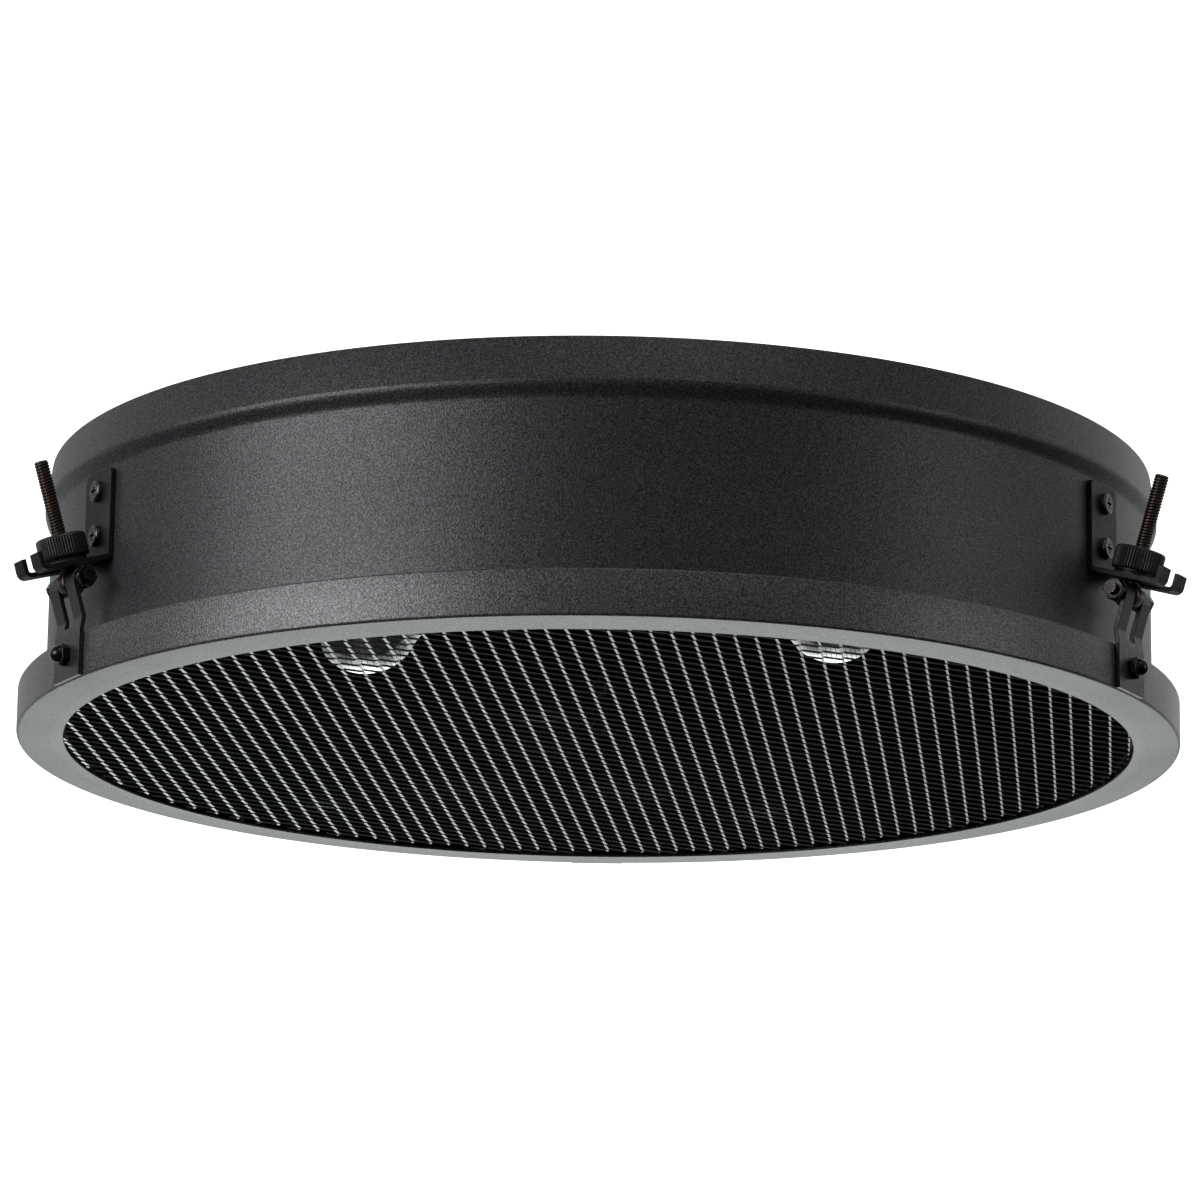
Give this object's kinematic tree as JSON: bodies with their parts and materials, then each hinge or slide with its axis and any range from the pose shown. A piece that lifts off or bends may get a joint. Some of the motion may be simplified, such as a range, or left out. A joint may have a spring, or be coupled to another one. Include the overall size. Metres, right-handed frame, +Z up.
{
  "type": "flush ceiling light",
  "caption": "Round flush ceiling light: a shallow black metal drum whose mesh-fronted ring is held on by swing-bolt clamps, with radial screw-base lamps inside.",
  "frame": {"origin": "centre of the ceiling plate, on the face that meets the ceiling", "axes": "+Z up into the ceiling, square to the plate; the light hangs below; one clamp stands at +Y and the other two 120 degrees either side, facing front-left and front-right"},
  "size_m": [0.4999, 0.5218, 0.1165],
  "materials": {
    "drum_paint": "fine textured black powder coat",
    "ring_paint": "fine textured black powder coat",
    "zinc_plate": "zinc plated",
    "zinc_fasteners": "zinc plated",
    "black_rubber": "matt",
    "brass_parts": "satin",
    "terminal_plastic": "moulded",
    "lead_jacket": "satin jacket",
    "holder_ceramic": "glazed ceramic",
    "lamp_cap_metal": "rolled thread",
    "lamp_glass": "clear with a pale coat",
    "filament": "coated",
    "bracket_steel": "blackened, worn edges",
    "screw_steel": "blackened, burnished",
    "mesh_steel": "dark coated expanded metal",
    "bronzed_steel": "brown oxide, burnished",
    "thread_steel": "brown oxide thread",
    "nut_black": "black oxide"
  },
  "bodies": {
    "root": {"drum_shell": "drum_paint", "top_plate": "zinc_plate", "plate_screws": "zinc_fasteners", "cable_grommet": "black_rubber", "earth_stud": "brass_parts", "terminal_block": "terminal_plastic", "terminal_screws": "zinc_fasteners", "inner_leads": "lead_jacket", "holder_bracket_1": "zinc_plate", "holder_bracket_2": "zinc_plate", "holder_bracket_3": "zinc_plate", "holder_bracket_screws": "zinc_fasteners", "holder_nuts": "zinc_fasteners", "lampholder_1": "holder_ceramic", "lampholder_2": "holder_ceramic", "lampholder_3": "holder_ceramic", "socket_shells": "brass_parts", "socket_contacts": "brass_parts", "lamp_cap_1": "lamp_cap_metal", "lamp_cap_2": "lamp_cap_metal", "lamp_cap_3": "lamp_cap_metal", "lamp_globe_1": "lamp_glass", "lamp_globe_2": "lamp_glass", "lamp_globe_3": "lamp_glass", "lamp_filaments": "filament", "upper_bracket_1": "bracket_steel", "upper_bracket_2": "bracket_steel", "upper_bracket_3": "bracket_steel", "bracket_screws": "screw_steel", "bracket_nuts": "zinc_fasteners", "grille_ring": "ring_paint", "mesh_screen": "mesh_steel", "mesh_retainer": "ring_paint", "retainer_screws": "zinc_fasteners", "drum_gasket": "black_rubber", "lower_bracket_1": "bracket_steel", "lower_bracket_2": "bracket_steel", "lower_bracket_3": "bracket_steel", "strap_screws": "bronzed_steel", "cap_nuts": "bronzed_steel", "pivot_pins": "bronzed_steel", "pivot_nuts": "bronzed_steel"},
    "swing_bolt_1": {"swing_bolt_1": "thread_steel"},
    "nut_carrier_1": {"nut_washer_1": "nut_black"},
    "clamp_nut_1": {"knurled_nut_1": "nut_black"},
    "swing_bolt_2": {"swing_bolt_2": "thread_steel"},
    "nut_carrier_2": {"nut_washer_2": "nut_black"},
    "clamp_nut_2": {"knurled_nut_2": "nut_black"},
    "swing_bolt_3": {"swing_bolt_3": "thread_steel"},
    "nut_carrier_3": {"nut_washer_3": "nut_black"},
    "clamp_nut_3": {"knurled_nut_3": "nut_black"}
  },
  "joints": [
    {"name": "bolt_swing_1", "type": "hinge", "parent": "root", "child": "swing_bolt_1", "pos_m": [-0.21737, -0.1255, -0.0755], "axis": [0.5, -0.866, 0], "range_deg": [0, 75]},
    {"name": "nut_travel_1", "type": "slide", "parent": "swing_bolt_1", "child": "nut_carrier_1", "axis": [-0.2604, -0.1504, 0.9537], "range_m": [0, 0.036]},
    {"name": "nut_spin_1", "type": "hinge", "parent": "nut_carrier_1", "child": "clamp_nut_1", "pos_m": [-0.21737, -0.1255, -0.0755], "axis": [-0.2604, -0.1504, 0.9537], "continuous": true},
    {"name": "bolt_swing_2", "type": "hinge", "parent": "root", "child": "swing_bolt_2", "pos_m": [0.21737, -0.1255, -0.0755], "axis": [0.5, 0.866, 0], "range_deg": [0, 75]},
    {"name": "nut_travel_2", "type": "slide", "parent": "swing_bolt_2", "child": "nut_carrier_2", "axis": [0.2604, -0.1504, 0.9537], "range_m": [0, 0.036]},
    {"name": "nut_spin_2", "type": "hinge", "parent": "nut_carrier_2", "child": "clamp_nut_2", "pos_m": [0.21737, -0.1255, -0.0755], "axis": [0.2604, -0.1504, 0.9537], "continuous": true},
    {"name": "bolt_swing_3", "type": "hinge", "parent": "root", "child": "swing_bolt_3", "pos_m": [0, 0.251, -0.0755], "axis": [-1, 0, 0], "range_deg": [0, 75]},
    {"name": "nut_travel_3", "type": "slide", "parent": "swing_bolt_3", "child": "nut_carrier_3", "axis": [0, 0.3007, 0.9537], "range_m": [0, 0.036]},
    {"name": "nut_spin_3", "type": "hinge", "parent": "nut_carrier_3", "child": "clamp_nut_3", "pos_m": [0, 0.251, -0.0755], "axis": [0, 0.3007, 0.9537], "continuous": true}
  ],
  "couplings": [
    {"joint": "nut_travel_1", "follows": "bolt_swing_1", "m_per_rad": 0.027},
    {"joint": "nut_travel_2", "follows": "bolt_swing_2", "m_per_rad": 0.027},
    {"joint": "nut_travel_3", "follows": "bolt_swing_3", "m_per_rad": 0.027}
  ]
}
